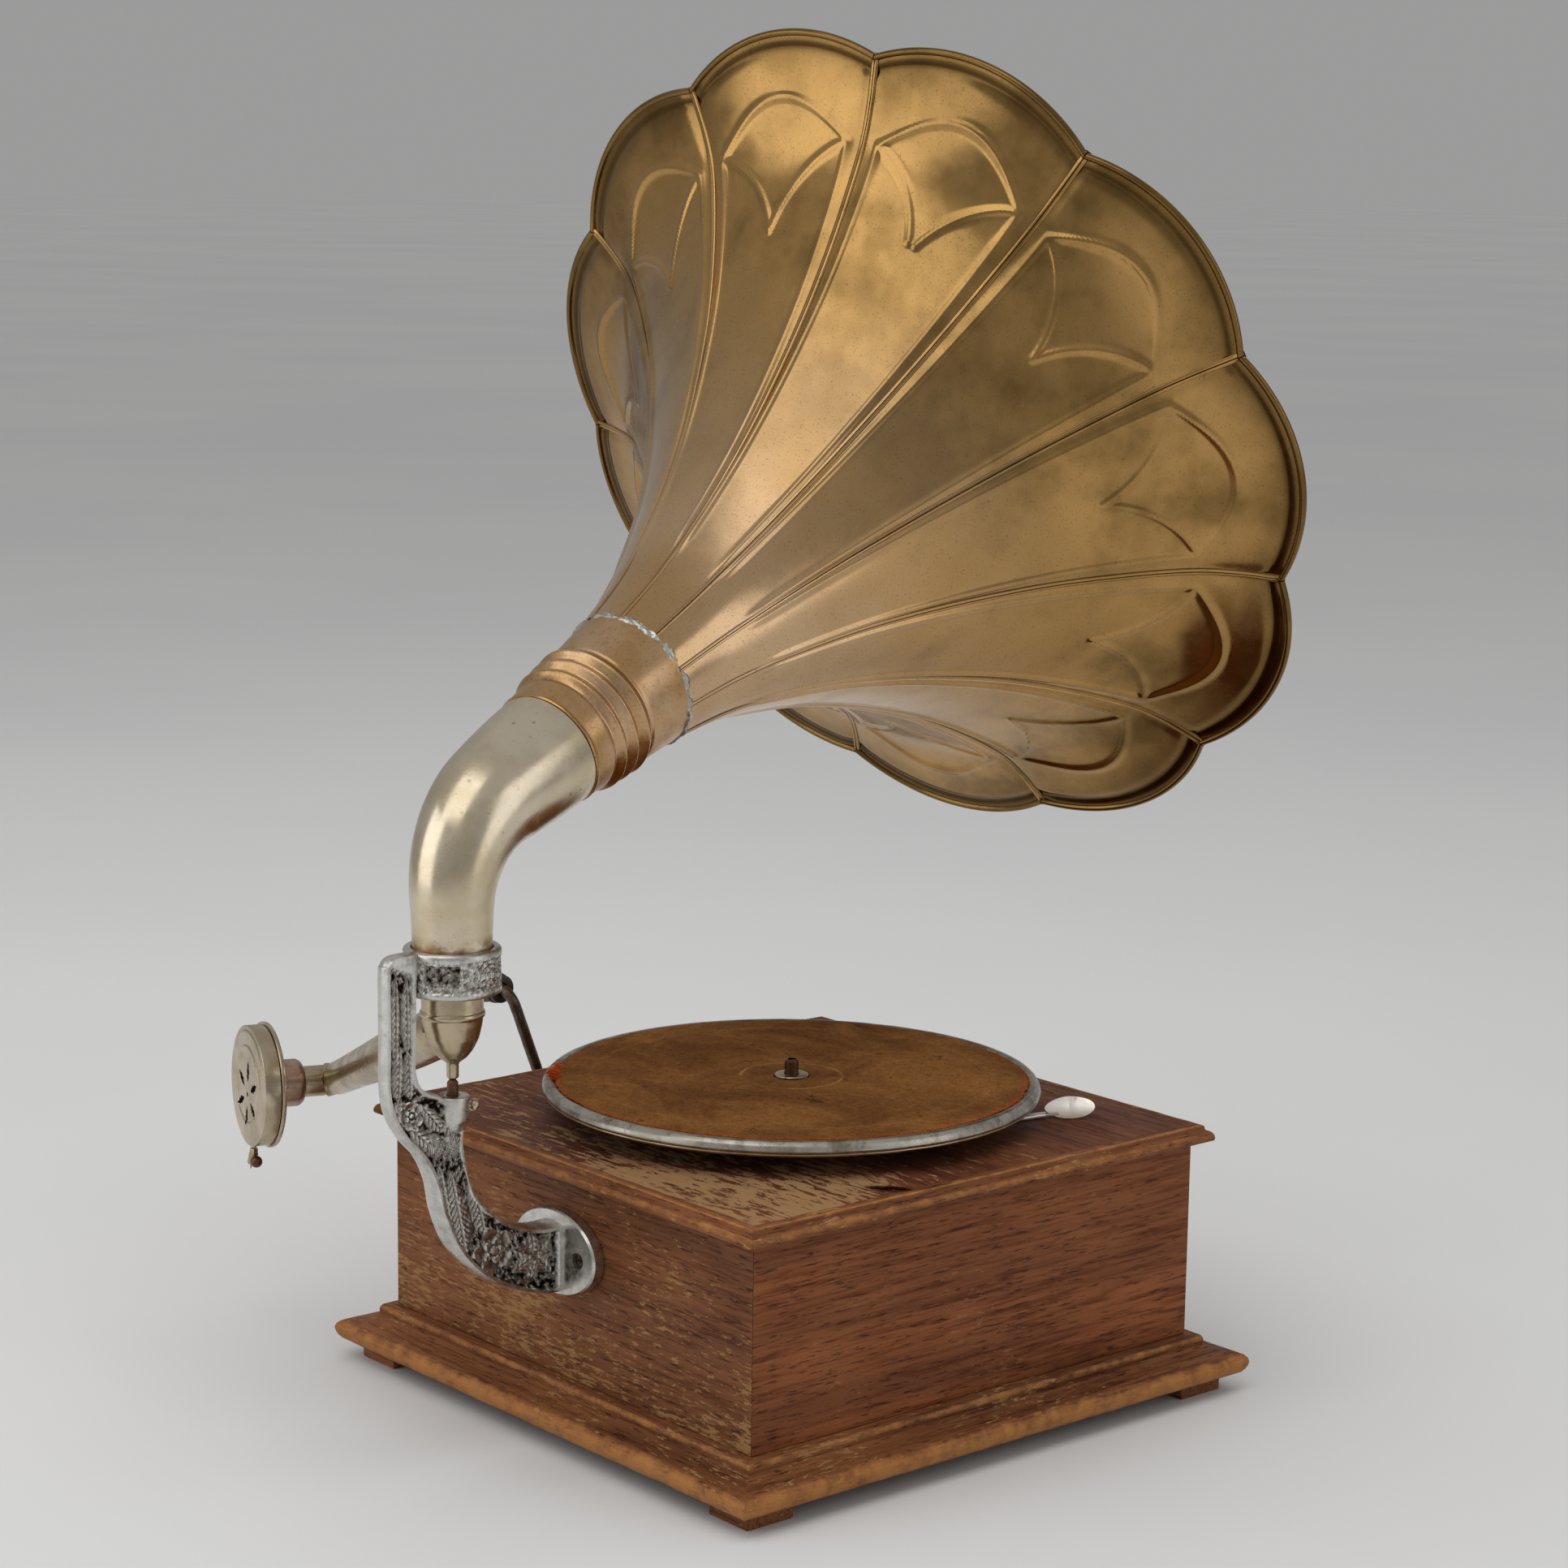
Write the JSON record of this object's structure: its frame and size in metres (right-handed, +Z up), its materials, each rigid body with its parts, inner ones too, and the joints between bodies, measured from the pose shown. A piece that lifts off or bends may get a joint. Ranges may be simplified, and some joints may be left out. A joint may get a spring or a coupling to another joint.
{
  "type": "wind-up phonograph",
  "caption": "Tabletop wind-up phonograph: square wooden case, felt turntable, petal horn on a cast rear bracket, swinging tonearm with soundbox, winding crank and speed lever.",
  "frame": {"origin": "centre of the bounding box at the level the feet stand on", "axes": "+Z up; the front of the case and the horn's mouth face -Y, the bracket is at +Y, the crank at +X"},
  "size_m": [0.4792, 0.5091, 0.6872],
  "materials": {
    "mahogany": "worn varnished veneer",
    "edge_wood": "worn varnished moulding",
    "cast_metal": "polished casting with dark recesses",
    "nickel": "aged nickel plating",
    "brass": "patinated sheet",
    "coppery": "patinated coppery sheet",
    "steel": "darkened steel",
    "felt": "worn felt",
    "handle": "dark turned wood",
    "mica": "mica sheet"
  },
  "bodies": {
    "case": {"case_back": "mahogany", "case_front": "mahogany", "case_left": "mahogany", "case_right": "mahogany", "case_lid": "mahogany", "base_moulding": "edge_wood", "bottom_board": "edge_wood", "foot_back_left": "edge_wood", "foot_back_right": "edge_wood", "foot_front_left": "edge_wood", "foot_front_right": "edge_wood", "bracket": "cast_metal", "flange_screw_left": "steel", "flange_screw_right": "steel", "set_screw": "nickel", "pivot_pin": "steel", "crank_escutcheon": "nickel", "motor_frame": "steel"},
    "horn": {"horn_elbow": "nickel", "horn_collar": "coppery", "horn_gore_01": "brass", "horn_gore_02": "brass", "horn_gore_03": "brass", "horn_gore_04": "brass", "horn_gore_05": "brass", "horn_gore_06": "brass", "horn_gore_07": "brass", "horn_gore_08": "brass", "horn_gore_09": "brass", "horn_gore_10": "brass", "horn_gore_11": "brass"},
    "tonearm_pivot": {"tonearm_bulb": "nickel", "tonearm_hinge_pin": "steel"},
    "tonearm": {"tonearm_tube": "nickel"},
    "soundbox": {"soundbox_collar": "coppery", "soundbox_back": "nickel", "soundbox_shell": "nickel", "soundbox_diaphragm": "mica", "needle_chuck": "nickel", "needle": "steel", "stylus_bar": "nickel"},
    "needle_screw": {"needle_screw": "steel"},
    "turntable": {"platter": "nickel", "felt": "felt", "spindle_washer": "nickel", "spindle": "steel"},
    "speed_lever": {"speed_lever": "nickel", "brake_arm": "steel"},
    "crank": {"crank_rod": "steel", "crank_ferrule": "steel"},
    "crank_handle": {"crank_handle": "handle"},
    "spring_barrel": {"spring_barrel": "brass", "mainspring": "steel"},
    "winding_arbor": {"winding_arbor": "steel"},
    "centre_arbor": {"centre_arbor": "steel"},
    "governor": {"governor_shaft": "steel", "governor_weight_1": "brass", "governor_weight_2": "brass", "governor_weight_3": "brass"}
  },
  "joints": [
    {"name": "turntable_spin", "type": "hinge", "parent": "case", "child": "turntable", "pos_m": [-0.0725, 0.0051, 0.15], "axis": [0, 0, 1], "continuous": true},
    {"name": "centre_arbor_turn", "type": "hinge", "parent": "case", "child": "centre_arbor", "pos_m": [-0.05309, -0.00293, 0.1], "axis": [0, 0, 1], "continuous": true},
    {"name": "barrel_turn", "type": "hinge", "parent": "case", "child": "spring_barrel", "pos_m": [-0.0265, 0.0256, 0.08], "axis": [0, 0, 1], "continuous": true},
    {"name": "governor_spin", "type": "hinge", "parent": "case", "child": "governor", "pos_m": [-0.0725, -0.0175, 0.115], "axis": [1, 0, 0], "continuous": true},
    {"name": "crank_turn", "type": "hinge", "parent": "case", "child": "crank", "pos_m": [0.0775, 0.0256, 0.098], "axis": [1, 0, 0], "continuous": true},
    {"name": "crank_handle_spin", "type": "hinge", "parent": "crank", "child": "crank_handle", "pos_m": [0.1175, 0.0551, 0.1765], "axis": [1, 0, 0], "continuous": true},
    {"name": "winding_arbor_turn", "type": "hinge", "parent": "case", "child": "winding_arbor", "pos_m": [-0.0265, 0.0256, 0.08], "axis": [0, 0, 1], "continuous": true},
    {"name": "horn_swivel", "type": "hinge", "parent": "case", "child": "horn", "pos_m": [-0.0725, 0.2155, 0.245], "axis": [0, 0, 1], "range_deg": [-60, 60]},
    {"name": "tonearm_swing", "type": "hinge", "parent": "case", "child": "tonearm_pivot", "pos_m": [-0.0725, 0.2155, 0.2], "axis": [0, 0, 1], "range_deg": [-14, 30]},
    {"name": "tonearm_lift", "type": "hinge", "parent": "tonearm_pivot", "child": "tonearm", "pos_m": [-0.06674, 0.21382, 0.213], "axis": [-0.2804, -0.9599, 0], "range_deg": [0, 28]},
    {"name": "soundbox_turn", "type": "hinge", "parent": "tonearm", "child": "soundbox", "pos_m": [0.11556, 0.18896, 0.1444], "axis": [0.2722, 0.962, 0.02], "range_deg": [-100, 20]},
    {"name": "needle_screw_turn", "type": "hinge", "parent": "soundbox", "child": "needle_screw", "pos_m": [0.12201, 0.20478, 0.10544], "axis": [-0.9622, 0.2723, 0], "range_deg": [0, 720]},
    {"name": "speed_lever_turn", "type": "hinge", "parent": "case", "child": "speed_lever", "pos_m": [-0.1525, -0.0389, 0.141], "axis": [0, 0, 1], "range_deg": [-8, 10]}
  ],
  "couplings": [
    {"joint": "centre_arbor_turn", "follows": "turntable_spin", "ratio": -0.4},
    {"joint": "barrel_turn", "follows": "turntable_spin", "ratio": 0.072727},
    {"joint": "governor_spin", "follows": "turntable_spin", "ratio": 9},
    {"joint": "winding_arbor_turn", "follows": "crank_turn", "ratio": 0.53571}
  ]
}
